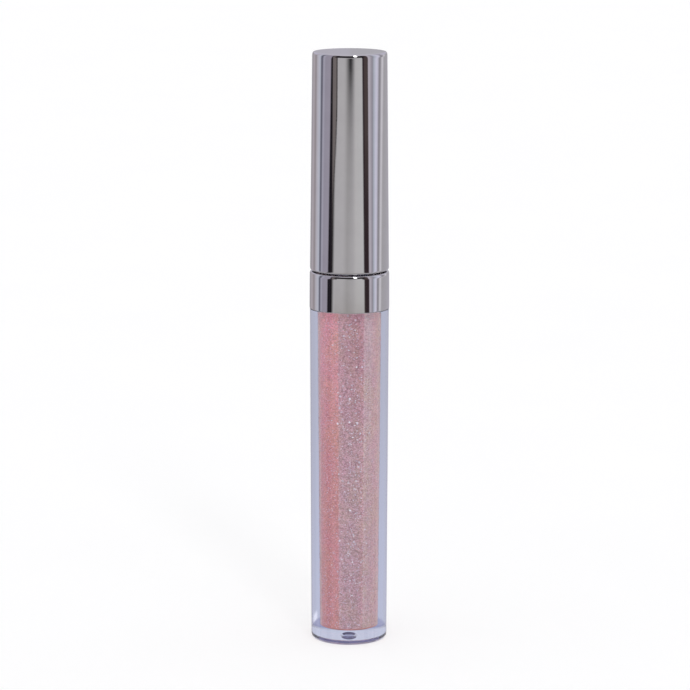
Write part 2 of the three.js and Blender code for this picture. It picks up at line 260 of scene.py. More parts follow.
def mirror_material(name, plastic):
    """Vacuum-metallised plastic under lacquer: a mirror with faint ripple and handling haze. The
    coating is on the outer and upper faces, and the bare plastic shows on the rest."""
    material, tree = new_material(name)
    place = tree.object_place()
    haze = tree.noise(place, 0.35, 4.0)
    ripple = tree.noise(tree.object_place((1, 1, 0.15)), 0.5, 2.0)
    tint = tree.blend(haze, tone(226, 223, 226), tone(238, 236, 238))
    level = tree.times(place, (1, 1, 0))
    outward = tree.add("VectorMath", {0: level}, operation="NORMALIZE").outputs[0]
    normal = tree.add("VectorTransform", {"Vector": tree.add("NewGeometry").outputs["True Normal"]},
                      vector_type="NORMAL", convert_from="WORLD", convert_to="OBJECT").outputs[0]
    facing = tree.add("VectorMath", {0: outward, 1: normal}, operation="DOT_PRODUCT").outputs["Value"]
    raised = tree.add("SeparateXYZ", {0: normal}).outputs["Z"]
    coated = tree.step(tree.math("MAXIMUM", facing, raised), 0.05, 0.1)
    tree.surface(tree.add("BsdfPrincipled", {
        "Base Color": tree.blend(coated, plastic, tint),
        "Metallic": coated,
        "Roughness": tree.blend(coated, even(0.4), tree.rough(haze, 0.03, 0.065)),
        "Normal": tree.bump(ripple, 0.004, 0.4),
    }))
    return material


def clear_material():
    """Clear moulded PETG with faint flow lines along the tube, scuffed where it stands."""
    material, tree = new_material("clear_plastic")
    flow = tree.noise(tree.object_place((1, 1, 0.08)), 0.6, 2.0)
    place = tree.object_place()
    haze = tree.noise(place, 0.5, 3.0)
    height = tree.add("SeparateXYZ", {0: place}).outputs["Z"]
    worn = tree.math("MULTIPLY", tree.fall(height, 0.3, 0.6), 0.15)
    tree.surface(tree.add("BsdfPrincipled", {
        "Base Color": (0.86, 0.88, 0.98, 1.0),
        "Roughness": tree.math("ADD", tree.rough(haze, 0.0, 0.02), worn),
        "IOR": 1.57,
        "Transmission Weight": 1.0,
        "Normal": tree.bump(flow, 0.003, 0.5),
    }))
    return material


# Painted reflections: the studio's reflections on the gloss, painted as streaks round the tube over its
# pink, the same in front and behind. Colours by the share of a half turn from the left side, near the
# collar and near the base; the two tables also paint how the light changes from the collar to the base.
UPPER_PAINTED_REFLECTIONS = [
    (0.0, tone(206, 158, 154)), (0.03, tone(207, 147, 149)), (0.2, tone(207, 145, 147)),
    (0.345, tone(209, 151, 147)), (0.36, tone(187, 147, 147)), (0.452, tone(178, 139, 140)),
    (0.6, tone(174, 131, 132)), (0.69, tone(184, 138, 140)), (0.71, tone(196, 168, 164)),
    (0.81, tone(193, 166, 163)), (0.87, tone(193, 155, 151)), (1.0, tone(203, 168, 161)),
]
LOWER_PAINTED_REFLECTIONS = [
    (0.0, tone(205, 158, 152)), (0.03, tone(196, 141, 141)), (0.2, tone(194, 134, 132)),
    (0.345, tone(196, 138, 134)), (0.36, tone(186, 150, 150)), (0.452, tone(180, 147, 148)),
    (0.6, tone(175, 144, 145)), (0.69, tone(186, 146, 147)), (0.71, tone(194, 165, 161)),
    (0.81, tone(190, 160, 156)), (0.87, tone(193, 157, 152)), (1.0, tone(202, 168, 160)),
]


def gloss_material():
    """Pearl gloss: pink with cooler streaks round the tube, which are painted reflections of the studio,
    and a fine shimmer grain.
    """
    material, tree = new_material("shimmer_gloss")
    place = tree.object_place()
    east, north, height = tree.add("SeparateXYZ", {0: place}).outputs
    azimuth = tree.math("ARCTAN2", east, tree.math("MULTIPLY", north, -1.0))
    half_turns = tree.math("FRACT", tree.math("ADD", tree.math("DIVIDE", azimuth, math.pi), 0.5))
    streak_edge = tree.noise(tree.object_place((1, 1, 0.3)), 1.2, 2.0)
    wander = tree.math("MULTIPLY", tree.math("SUBTRACT", streak_edge, 0.5), 0.006)
    around = tree.math("ADD", half_turns, wander)
    upper = tree.ramp(around, UPPER_PAINTED_REFLECTIONS)
    lower = tree.ramp(around, LOWER_PAINTED_REFLECTIONS)
    streaks = tree.blend(tree.step(height, 30, 66), lower, upper)
    # Painted highlight: a lighter band just past the right side of the gloss, for the light along its
    # edge.
    painted_edge_light = tree.band(azimuth, np.radians((89, 90)), np.radians((112, 114)))
    streaks = tree.blend(painted_edge_light, streaks, tone(205, 172, 165))
    # Painted light: the gloss is made lighter towards the collar.
    lift = tree.rough(tree.step(height, 61, 67.5), 1.0, 1.12)
    streaks = tree.times(streaks, lift)

    patches = tree.noise(tree.object_place((1, 1, 0.5)), 0.45, 3.0)
    mottle = tree.ramp(patches, [
        (0.36, (1.01, 0.97, 1.04, 1)), (0.5, (1, 1, 1, 1)), (0.64, (1.0, 1.03, 0.95, 1)),
    ])
    mottled = tree.times(streaks, mottle)

    grain = tree.add("TexVoronoi", {"Vector": place, "Scale": 5.0}).outputs["Color"]
    grain_value, grain_hue, _ = tree.add("SeparateXYZ", {0: grain}).outputs
    # the grain is stronger in the silvery band of the painted reflections
    silvery = tree.math("SUBTRACT", tree.step(around, 0.345, 0.365), tree.step(around, 0.69, 0.72))
    fine = tree.rough(grain_value, 0.78, 1.2)
    strong = tree.rough(grain_value, 0.68, 1.32)
    light = tree.blend(silvery, fine, strong)
    tinge = tree.ramp(grain_hue, [
        (0.0, (1.04, 0.95, 0.97, 1)), (0.35, (0.98, 0.99, 1.04, 1)),
        (0.65, (0.97, 1.04, 1.0, 1)), (1.0, (1.01, 0.99, 1.01, 1)),
    ])
    coloured = tree.times(mottled, tree.times(light, tinge))

    # A darker orange round the foot of the gloss, and painted shade on its underside: a dull purple-grey
    # for the dark below the tube.
    foot = tree.fall(height, CAVITY_FLOOR + 0.1, CAVITY_FLOOR + 0.35)
    with_darker_foot = tree.blend(foot, coloured, tone(196, 128, 120))
    under = tree.fall(height, CAVITY_FLOOR - 0.05, CAVITY_FLOOR - 0.02)
    tree.surface(tree.add("BsdfPrincipled", {
        "Base Color": tree.blend(under, with_darker_foot, tone(150, 146, 176)),
        "Metallic": 0.15,
        "Roughness": tree.rough(grain_value, 0.3, 0.5),
        "Specular IOR Level": 0.3,
        "Normal": tree.bump(grain_value, 0.02, 0.6),
    }))
    return material


def flake_material():
    """Glitter: silvery pink film, each flake a little different."""
    material, tree = new_material("glitter_flake")
    spread = tree.add("Attribute", attribute_name="flake_tint").outputs["Fac"]
    # The near-white top of the ramp is for the sparks: painted glints on real glitter flakes.
    colour = tree.ramp(spread, [
        (0.0, tone(150, 104, 116)), (0.3, tone(176, 122, 134)), (0.5, tone(214, 172, 178)),
        (0.8, tone(196, 190, 206)), (0.95, tone(225, 215, 222)), (1.0, tone(255, 250, 252)),
    ])
    tree.surface(tree.add("BsdfPrincipled", {
        "Base Color": colour,
        "Metallic": 0.3,
        "Roughness": tree.rough(spread, 0.5, 0.25),
    }))
    return material


def milky_material(name, colour, roughness):
    """Natural polypropylene or polyethylene: waxy, slightly see-through, finely textured."""
    material, tree = new_material(name)
    place = tree.object_place()
    cloud = tree.noise(place, 0.5, 3.0)
    texture = tree.noise(place, 9.0, 2.0)
    shade = tuple(0.93 * c for c in colour[:3]) + (1.0,)
    tree.surface(tree.add("BsdfPrincipled", {
        "Base Color": tree.blend(cloud, shade, colour),
        "Roughness": tree.rough(texture, roughness - 0.06, roughness + 0.06),
        "Subsurface Weight": 0.25,
        "Subsurface Radius": (0.4, 0.4, 0.4),
        "Subsurface Scale": 0.001,
        "Normal": tree.bump(texture, 0.008, 0.4),
    }))
    return material


def foam_material():
    """Closed-cell foam washer."""
    material, tree = new_material("gasket_foam")
    place = tree.object_place()
    cells = tree.add("TexVoronoi", {"Vector": place, "Scale": 6.0}).outputs["Distance"]
    tree.surface(tree.add("BsdfPrincipled", {
        "Base Color": tree.blend(cells, tone(214, 212, 206), tone(244, 243, 238)),
        "Roughness": tree.rough(cells, 0.95, 0.8),
        "Normal": tree.bump(cells, 0.05, 0.7),
    }))
    return material


def steel_material():
    """Turned steel slug with fine lathe marks."""
    material, tree = new_material("weight_steel")
    marks = tree.noise(tree.object_place((0.05, 0.05, 6)), 1.5, 3.0)
    tree.surface(tree.add("BsdfPrincipled", {
        "Base Color": tree.blend(marks, tone(140, 142, 146), tone(176, 178, 182)),
        "Metallic": 1.0,
        "Roughness": tree.rough(marks, 0.28, 0.42),
        "Normal": tree.bump(marks, 0.01, 0.5),
    }))
    return material


def stem_material():
    """White acetal rod with a film of gloss left on it, thicker towards the applicator."""
    material, tree = new_material("stem_plastic")
    place = tree.object_place()
    height = tree.add("SeparateXYZ", {0: place}).outputs["Z"]
    patches = tree.noise(tree.object_place((1, 1, 0.35)), 1.1, 4.0)
    dipped = tree.math("MULTIPLY", tree.fall(height, STEM_LOW, WIPER_LOW), 0.5)
    film = tree.step(tree.math("ADD", patches, dipped), 0.55, 0.85)
    wet = tree.math("MULTIPLY", film, tree.fall(height, WIPER_LOW - 2, WIPER_LOW))
    tree.surface(tree.add("BsdfPrincipled", {
        "Base Color": tree.blend(wet, tone(236, 233, 228), tone(214, 156, 166)),
        "Roughness": tree.rough(wet, 0.32, 0.1),
        "Coat Weight": 0.2,
        "Normal": tree.bump(wet, 0.03, 0.6),
    }))
    return material


def core_material():
    """Soft elastomer under the flock."""
    material, tree = new_material("applicator_rubber")
    grain = tree.noise(tree.object_place(), 5.0, 3.0)
    tree.surface(tree.add("BsdfPrincipled", {
        "Base Color": tree.blend(grain, tone(224, 204, 200), tone(238, 222, 217)),
        "Roughness": tree.rough(grain, 0.5, 0.65),
        "Normal": tree.bump(grain, 0.01, 0.4),
    }))
    return material


def flock_material():
    """Short nylon fibres, soaked pink with gloss."""
    material, tree = new_material("flock_fibre")
    place = tree.object_place()
    soak = tree.noise(place, 0.8, 4.0)
    strand = tree.noise(place, 12.0, 2.0)
    soaked = tree.blend(soak, tone(205, 140, 150), tone(232, 184, 190))
    tree.surface(tree.add("BsdfPrincipled", {
        "Base Color": tree.blend(tree.math("MULTIPLY", strand, 0.4), soaked, tone(246, 222, 224)),
        "Roughness": tree.rough(soak, 0.45, 0.8),
        "Sheen Weight": 0.5,
        "Sheen Roughness": 0.4,
    }))
    return material


def floor_material():
    """A white studio sweep with a little light of its own, and painted shade below the tube."""
    material, tree = new_material("studio_floor")
    grain = tree.noise(tree.object_place(), 0.02, 2.0)
    flat = tree.object_place((1, 1, 0))
    reach = tree.add("VectorMath", {0: flat}, operation="LENGTH").outputs["Value"]
    # painted shade: darker, and with less light of its own, under the tube
    clear = tree.step(reach, BASE_RADIUS - 0.8, BASE_RADIUS - 0.1)
    pale = tree.blend(grain, (0.50, 0.50, 0.502, 1.0), (0.52, 0.52, 0.522, 1.0))
    tree.surface(tree.add("BsdfPrincipled", {
        "Base Color": tree.blend(clear, tone(132, 130, 164), pale),
        "Roughness": 0.9,
        "Specular IOR Level": 0.0,
        "Emission Color": tree.blend(clear, tone(62, 60, 78), even(0.5)),
        "Emission Strength": 1.0,
    }))
    return material


# ------------------------------------------------------------------ mesh making


def arc(centre_radius, centre_height, radius, start, end, steps=8, tall=None):
    """Points of a profile's rounded corner, between two angles in degrees. With tall, the corner
    is an ellipse of that half height."""
    tall = tall or radius
    angles = [math.radians(start + (end - start) * i / steps) for i in range(steps + 1)]
    return [(centre_radius + radius * math.cos(a), centre_height + tall * math.sin(a)) for a in angles]


def eased(profile, ring):
    """The profile with points added close to both ends of its long straights, so that a smooth
    surface stays flat between its corners."""
    points = []
    ends = profile[1:] + (profile[:1] if ring else [])
    for (r0, z0), (r1, z1) in zip(profile, ends):
        points.append((r0, z0))
        length = math.hypot(r1 - r0, z1 - z0)
        if length > 6 * EASE:
            for share in (EASE / length, 1 - EASE / length):
                points.append((r0 + (r1 - r0) * share, z0 + (z1 - z0) * share))
    if not ring:
        points.append(profile[-1])
    return points


def placed(name, mesh, material, node, body):
    """An object from a mesh in the part's frame, riding on a body, with the CAD node that it stands in
    for hidden, if one is named."""
    mesh.materials.append(material)
    piece = bpy.data.objects.new(name, mesh)
    bpy.context.scene.collection.objects.link(piece)
    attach(piece, body)
    if node:
        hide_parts(node)
    return piece


def finished(name, vertices, faces, material, node, body):
    """The same from vertices and faces, smooth all over."""
    mesh = bpy.data.meshes.new(name)
    mesh.from_pydata([tuple(v) for v in vertices], [], faces)
    mesh.validate()
    mesh.shade_smooth()
    return placed(name, mesh, material, node, body)


def turned_mesh(profile, ring=False, swell=None, segments=SEGMENTS):
    """Vertices and faces of a profile in mm turned about Z. It runs anticlockwise in the
    radius-height plane. swell(angles, height, radius) gives each vertex's extra radius."""
    rows = eased(profile, ring)
    angles = np.arange(segments) * TURN / segments
    vertices, starts = [], []
    for radius, height in rows:
        starts.append(len(vertices))
        if radius < 1e-6:
            vertices.append((0.0, 0.0, height * MM))
            continue
        radii = radius + (swell(angles, height, radius) if swell else 0 * angles)
        for angle, r in zip(angles, radii):
            vertices.append((r * math.cos(angle) * MM, r * math.sin(angle) * MM, height * MM))
    faces = []
    pairs = list(zip(range(len(rows)), range(1, len(rows))))
    if ring:
        pairs.append((len(rows) - 1, 0))
    for low, high in pairs:
        low_pole = rows[low][0] < 1e-6
        high_pole = rows[high][0] < 1e-6
        for i in range(segments):
            j = (i + 1) % segments
            if low_pole:
                faces.append((starts[low], starts[high] + j, starts[high] + i))
            elif high_pole:
                faces.append((starts[low] + i, starts[low] + j, starts[high]))
            else:
                faces.append((starts[low] + i, starts[low] + j, starts[high] + j, starts[high] + i))
    return vertices, faces


def thread(start_height, start_turn, turns, depth):
    """The extra radius of a helical tooth, as a function for turned_mesh."""
    def swell(angles, height, radius):
        turn = angles / TURN
        lap = np.round((height - start_height) / THREAD_LEAD - turn)
        along = turn + lap - start_turn
        off = np.abs(height - start_height - THREAD_LEAD * (turn + lap))
        flank = np.clip((TOOTH_BASE / 2 - off) / ((TOOTH_BASE - TOOTH_CREST) / 2), 0, 1)
        ends = np.clip(np.minimum(along, turns - along) / THREAD_FADE, 0, 1)
        return depth * flank * ends * ends * (3 - 2 * ends)
    return swell


def heights(low, high, step=0.1):
    count = round((high - low) / step)
    return [low + (high - low) * i / count for i in range(count + 1)]


# ------------------------------------------------------------------ bottle side


def bottle_piece(material):
    profile = [
        (0, RECESS_DEPTH + GATE_DEPTH),
        *arc(0, RECESS_DEPTH, GATE_RADIUS, 90, 0, 12, GATE_DEPTH)[1:],
        *arc(RECESS_RADIUS - EDGE, RECESS_DEPTH - EDGE, EDGE, 90, 0, 4),
        (RECESS_RADIUS, 0),
        *arc(BASE_RADIUS - HEEL_WIDTH, HEEL_HEIGHT, HEEL_WIDTH, -90, 0, 12, HEEL_HEIGHT),
        *arc(SHOULDER_RADIUS - EDGE, SHOULDER_HEIGHT - EDGE, EDGE, 0, 90),
        (SEAT_RADIUS, SHOULDER_HEIGHT),
        (SEAT_RADIUS, SEAT_TOP),
        (NECK_RADIUS, SEAT_TOP),
        *[(NECK_RADIUS, z) for z in heights(*NECK_THREAD)],
        *arc(NECK_RADIUS - NECK_LIP, NECK_TOP - NECK_LIP, NECK_LIP, 0, 90, 4),
        *arc(NECK_BORE_RADIUS + NECK_LIP, NECK_TOP - NECK_LIP, NECK_LIP, 90, 180, 4),
        (NECK_BORE_RADIUS, SHOULDER_HEIGHT),
        *arc(CAVITY_RADIUS - CAVITY_CORNER, CAVITY_BOTTOM + CAVITY_CORNER, CAVITY_CORNER, 0, -90),
        (0, CAVITY_BOTTOM),
    ]
    tooth = thread(THREAD_START, 0, THREAD_TURNS, THREAD_DEPTH)

    def swell(angles, height, radius):
        on_neck = abs(radius - NECK_RADIUS) < 1e-6 and height > SEAT_TOP + 1
        return tooth(angles, height, radius) if on_neck else 0 * angles

    vertices, faces = turned_mesh(profile, swell=swell)
    return finished("bottle_clear", vertices, faces, material, "bottle", "bottle")


def gloss_piece(material):
    """The gloss, its skin a little way into the cavity's wall, with a meniscus round its top."""
    floor = CAVITY_BOTTOM - SKIN
    foot = CAVITY_RADIUS + SKIN
    neck = NECK_BORE_RADIUS + SKIN
    meniscus = 0.25
    pool = (2.6, GLOSS_LEVEL + 0.1)
    profile = [
        (0, floor),
        *arc(foot - CAVITY_CORNER, floor + CAVITY_CORNER, CAVITY_CORNER, -90, 0),
        (neck, SHOULDER_HEIGHT),
        *arc(neck - meniscus, GLOSS_LEVEL, meniscus, 0, 90, 4),
        pool,
        (0, pool[1]),
    ]
    vertices, faces = turned_mesh(profile)
    return finished("gloss_body", vertices, faces, material, "gloss_fill", "bottle")


def flake_piece(material, random, count=16000, sparks=420):
    """Glitter flakes lying just under the clear wall, each a small tilted hexagon. The sparks are larger
    and near white, real flakes painted as glints, and lie in the silvery band of the painted reflections."""
    sides = 6
    angle = random.uniform(0, TURN, count)
    silvery = random.normal(0.53, 0.11, sparks)
    angle[:sparks] = math.pi * (silvery - 1 + np.arange(sparks) % 2)
    height = random.uniform(CAVITY_FLOOR + 0.4, GLOSS_LEVEL - 1.5, count)
    share = np.clip((height - CAVITY_FLOOR) / (SHOULDER_HEIGHT - CAVITY_FLOOR), 0, 1)
    radius = CAVITY_RADIUS + (NECK_BORE_RADIUS - CAVITY_RADIUS) * share + SKIN
    radius += random.uniform(0.005, 0.03, count)
    size = random.uniform(0.04, 0.095, count)
    size[:sparks] = random.uniform(0.09, 0.2, sparks)
    outward = np.stack([np.cos(angle), np.sin(angle), 0 * angle], axis=1)
    around = np.stack([-np.sin(angle), np.cos(angle), 0 * angle], axis=1)
    up = np.tile([0.0, 0.0, 1.0], (count, 1))
    tilt_u, tilt_v = random.normal(0, 0.22, (2, count))
    side_u = around + outward * tilt_u[:, None]
    side_v = up + outward * tilt_v[:, None]
    centre = outward * radius[:, None] + up * height[:, None]
    spin = random.uniform(0, TURN, count)
    vertices = []
    for corner in range(sides):
        a = spin + corner * TURN / sides
        reach = side_u * np.cos(a)[:, None] + side_v * np.sin(a)[:, None]
        vertices.append(centre + reach * size[:, None])
    vertices = np.stack(vertices, axis=1).reshape(-1, 3) * MM
    faces = [tuple(range(sides * i, sides * (i + 1))) for i in range(count)]
    piece = finished("gloss_glitter", vertices, faces, material, None, "bottle")
    tint = piece.data.attributes.new("flake_tint", "FLOAT", "FACE")
    tints = random.uniform(0, 0.97, count)
    # the sparks take the near-white end of the ramp: painted glints
    tints[:sparks] = random.uniform(0.9, 1, sparks)
    tint.data.foreach_set("value", tints.astype(np.float32))
    return piece


def collar_piece(material):
    bore = COLLAR_RADIUS - COLLAR_WALL
    ceiling = SEAT_TOP + FIT
    top_radius = COLLAR_RADIUS - COLLAR_TAPER
    profile = [
        (bore, COLLAR_LOW),
        *arc(COLLAR_RADIUS - EDGE, COLLAR_LOW + EDGE, EDGE, -90, 0),
        *arc(top_radius - COLLAR_CORNER_WIDTH, COLLAR_TOP - COLLAR_CORNER_HEIGHT,
             COLLAR_CORNER_WIDTH, 0, 90, 16, COLLAR_CORNER_HEIGHT),
        (COLLAR_MOUTH_RADIUS, COLLAR_TOP),
        (COLLAR_MOUTH_RADIUS, ceiling),
        (bore, ceiling),
    ]
    vertices, faces = turned_mesh(profile, ring=True)
    return finished("collar_mirror", vertices, faces, material, "collar_ring", "bottle")


def wiper_piece(material):
    bore = WIPER_PLUG_RADIUS - WIPER_WALL
    flange_floor = NECK_TOP + FIT
    flange = WIPER_FLANGE_RADIUS - EDGE
    lip = 2 * WIPER_LIP_EDGE
    profile = [
        *arc(WIPER_LIP_RADIUS + WIPER_LIP_EDGE, WIPER_LOW + WIPER_LIP_EDGE, WIPER_LIP_EDGE, -180, -90, 4),
        (WIPER_LIP_RADIUS + lip, WIPER_LOW),
        (WIPER_PLUG_RADIUS, WIPER_CONE_TOP),
        (WIPER_PLUG_RADIUS, flange_floor),
        *arc(flange, flange_floor + EDGE, EDGE, -90, 0, 4),
        *arc(flange, WIPER_TOP - EDGE, EDGE, 0, 90, 4),
        *arc(bore + WIPER_MOUTH_EDGE, WIPER_TOP - WIPER_MOUTH_EDGE, WIPER_MOUTH_EDGE, 90, 180, 4),
        (bore, WIPER_CONE_TOP + lip),
        (WIPER_LIP_RADIUS, WIPER_LOW + lip),
    ]
    vertices, faces = turned_mesh(profile, ring=True)
    return finished("wiper_plug", vertices, faces, material, "wiper", "bottle")


# ------------------------------------------------------------------ cap side


def shell_piece(material):
    roof = CAP_TOP - CAP_ROOF
    profile = [
        (0, roof),
        (CAP_TOP_RADIUS - CAP_WALL, roof),
        (CAP_RADIUS - CAP_WALL, CAP_LOW),
        *arc(CAP_RADIUS - CAP_MOUTH_EDGE, CAP_LOW + CAP_MOUTH_EDGE, CAP_MOUTH_EDGE, -90, 0, 12),
        *arc(CAP_TOP_RADIUS - CAP_CORNER_WIDTH, CAP_TOP - CAP_CORNER_HEIGHT,
             CAP_CORNER_WIDTH, 0, 90, 16, CAP_CORNER_HEIGHT),
        (0, CAP_TOP),
    ]
    vertices, faces = turned_mesh(profile)
    return finished("cap_mirror_shell", vertices, faces, material, "cap_shell", "cap")


def liner_piece(material):
    flange_top = LINER_LOW + LINER_FLANGE
    profile = [
        (0, SOCKET_ROOF),
        (SOCKET_BORE, SOCKET_ROOF),
        (SOCKET_BORE, LINER_CEILING),
        (LINER_BORE, LINER_CEILING),
        *[(LINER_BORE, z) for z in reversed(heights(*LINER_THREAD))],
        (LINER_BORE, LINER_LOW),
        *arc(LINER_FLANGE_RADIUS - FINE_EDGE, LINER_LOW + FINE_EDGE, FINE_EDGE, -90, 0, 3),
        (LINER_FLANGE_RADIUS, flange_top),
        (LINER_RADIUS, flange_top),
        (LINER_RADIUS, LINER_SHOULDER),
        (SOCKET_RADIUS, LINER_SHOULDER),
        (SOCKET_RADIUS, LINER_TOP),
        (0, LINER_TOP),
    ]
    tooth = thread(THREAD_START - THREAD_LEAD / 2, 1 / 8, 1, -THREAD_DEPTH)

    def swell(angles, height, radius):
        if abs(radius - LINER_BORE) < 1e-6 and height < LINER_CEILING - 1:
            return tooth(angles, height, radius)
        if abs(radius - LINER_RADIUS) < 1e-6:
            crest = np.cos(angles * LINER_RIBS)
            return LINER_RIB_HEIGHT * np.clip((crest - 0.6) * 6, 0, 1)
        return 0 * angles

    vertices, faces = turned_mesh(profile, swell=swell, segments=16 * LINER_RIBS)
    return finished("cap_inner_liner", vertices, faces, material, "cap_liner", "cap")


def gasket_piece(material):
    profile = [
        *arc(GASKET_HOLE_RADIUS, GASKET_LOW + FINE_EDGE, FINE_EDGE, 180, 270, 3),
        *arc(GASKET_RADIUS - EDGE, GASKET_LOW + EDGE, EDGE, -90, 0, 4),
        *arc(GASKET_RADIUS - EDGE, GASKET_TOP - EDGE, EDGE, 0, 90, 4),
        *arc(GASKET_HOLE_RADIUS, GASKET_TOP - FINE_EDGE, FINE_EDGE, 90, 180, 3),
    ]
    vertices, faces = turned_mesh(profile, ring=True)
    return finished("foam_gasket", vertices, faces, material, "cap_gasket", "thread_lift")


def weight_piece(material):
    profile = [
        (0, WEIGHT_LOW),
        *arc(WEIGHT_RADIUS - WEIGHT_EDGE, WEIGHT_LOW + WEIGHT_EDGE, WEIGHT_EDGE, -90, 0, 5),
        *arc(WEIGHT_RADIUS - WEIGHT_EDGE, WEIGHT_TOP - WEIGHT_EDGE, WEIGHT_EDGE, 0, 90, 5),
        (0, WEIGHT_TOP),
    ]
    vertices, faces = turned_mesh(profile)
    return finished("steel_weight", vertices, faces, material, "cap_weight", "cap_lift")


def stem_piece(material):
    shoulder_top = GASKET_LOW - FIT
    shoulder_low = shoulder_top - STEM_SHOULDER_HEIGHT
    shoulder = STEM_SHOULDER_RADIUS - FINE_EDGE
    barbs = []
    for barb in range(BARBS, 0, -1):
        floor = STEM_TOP - barb * BARB_PITCH
        barbs += [(BARB_RADIUS, floor), (STEM_HEAD_RADIUS, floor + BARB_PITCH)]
    profile = [
        (0, STEM_BORE_ROOF),
        (STEM_BORE, STEM_BORE_ROOF),
        (STEM_BORE, STEM_LOW),
        *arc(STEM_RADIUS - FINE_EDGE, STEM_LOW + FINE_EDGE, FINE_EDGE, -90, 0, 3),
        (STEM_RADIUS, shoulder_low - STEM_CONE_HEIGHT),
        (shoulder, shoulder_low),
        *arc(shoulder, shoulder_top - FINE_EDGE, FINE_EDGE, 0, 90, 3),
        (STEM_HEAD_RADIUS, shoulder_top),
        *barbs,
        (0, STEM_TOP),
    ]
    vertices, faces = turned_mesh(profile, segments=64)
    return finished("wand_rod", vertices, faces, material, "wand_stem", "cap")


def add_faces(shape, vertices, faces):
    """Adds vertices and faces to a bmesh."""
    points = [shape.verts.new(v) for v in vertices]
    for face in faces:
        shape.faces.new([points[i] for i in face])


def doe_foot(inset, top):
    """A bmesh of the doe-foot drawn in by inset: a round-ended rod cut at a slant."""
    radius = FOOT_RADIUS - inset
    tip = FOOT_TIP + inset
    profile = [(0, tip), *arc(0, tip + radius, radius, -90, 0, 10)[1:], (radius, top), (0, top)]
    vertices, faces = turned_mesh(profile, segments=64)
    shape = bmesh.new()
    add_faces(shape, vertices, faces)
    normal = Vector((math.cos(FOOT_SLANT), 0, -math.sin(FOOT_SLANT)))
    place = Vector((FOOT_CUT_OFFSET, 0, FOOT_TIP)) * MM - normal * inset * MM
    cut = bmesh.ops.bisect_plane(
        shape, geom=shape.verts[:] + shape.edges[:] + shape.faces[:], dist=1e-8,
        plane_co=place, plane_no=normal, clear_outer=True,
    )
    rim = [e for e in cut["geom_cut"] if isinstance(e, bmesh.types.BMEdge)]
    bmesh.ops.edgeloop_fill(shape, edges=rim)
    return shape


def core_piece(material):
    shape = doe_foot(FOOT_RADIUS - CORE_RADIUS, STEM_LOW - FIT)
    spigot, faces = turned_mesh([
        (0, FLOCK_TOP),
        (SPIGOT_RADIUS, FLOCK_TOP),
        *arc(SPIGOT_RADIUS - SPIGOT_EDGE, CORE_TOP - SPIGOT_EDGE, SPIGOT_EDGE, 0, 90, 4),
        (0, CORE_TOP),
    ], segments=32)
    add_faces(shape, spigot, faces)
    name = "applicator_tip_core"
    mesh = bpy.data.meshes.new(name)
    shape.to_mesh(mesh)
    shape.free()
    mesh.shade_smooth()
    mesh.set_sharp_from_angle(angle=math.radians(35))
    return placed(name, mesh, material, "applicator_core", "cap")


def flock_piece(material, random, count=9000):
    """The flock: three-sided fibres standing on a doe-foot skin, leaning a little at random."""
    sides = 3
    shape = doe_foot(FIBRE_LENGTH, FLOCK_TOP - 0.2)
    bmesh.ops.triangulate(shape, faces=shape.faces[:])
    shape.verts.ensure_lookup_table()
    skin_points = np.array([v.co[:] for v in shape.verts])
    skin_faces = np.array([[v.index for v in f.verts] for f in shape.faces])
    shape.free()
    corners = skin_points[skin_faces]
    cross = np.cross(corners[:, 1] - corners[:, 0], corners[:, 2] - corners[:, 0])
    area = np.linalg.norm(cross, axis=1)
    normals = cross / np.maximum(area, 1e-30)[:, None]
    chance = area * (normals[:, 2] < 0.9)
    chosen = random.choice(len(area), count, p=chance / chance.sum())
    u, v = random.uniform(0, 1, (2, count))
    fold = u + v > 1
    u[fold], v[fold] = 1 - u[fold], 1 - v[fold]
    tri = corners[chosen]
    root = tri[:, 0] + u[:, None] * (tri[:, 1] - tri[:, 0]) + v[:, None] * (tri[:, 2] - tri[:, 0])
    lean = normals[chosen] + random.normal(0, 0.28, (count, 3))
    lean /= np.linalg.norm(lean, axis=1)[:, None]
    reach = random.uniform(0.6, 0.95, count) * FIBRE_LENGTH * MM
    across = np.cross(lean, random.normal(0, 1, (count, 3)))
    across /= np.linalg.norm(across, axis=1)[:, None]
    other = np.cross(lean, across)
    rings = []
    for share, thickness in ((0.0, 1.0), (1.0, 0.45)):
        for corner in range(sides):
            a = corner * TURN / sides
            offset = (across * math.cos(a) + other * math.sin(a)) * FIBRE_RADIUS * MM * thickness
            rings.append(root + lean * (reach * share)[:, None] + offset)
    fibres = np.stack(rings, axis=1).reshape(-1, 3)
    vertices = np.concatenate([skin_points, fibres])
    faces = [tuple(int(i) for i in f) for f in skin_faces]
    first = len(skin_points)
    for i in range(count):
        foot = first + 2 * sides * i
        head = foot + sides
        for corner in range(sides):
            after = (corner + 1) % sides
            faces.append((foot + corner, foot + after, head + after, head + corner))
        faces.append(tuple(range(head, head + sides)))
    return finished("applicator_flock", vertices, faces, material, "applicator_flocking", "cap")


# ------------------------------------------------------------------ studio

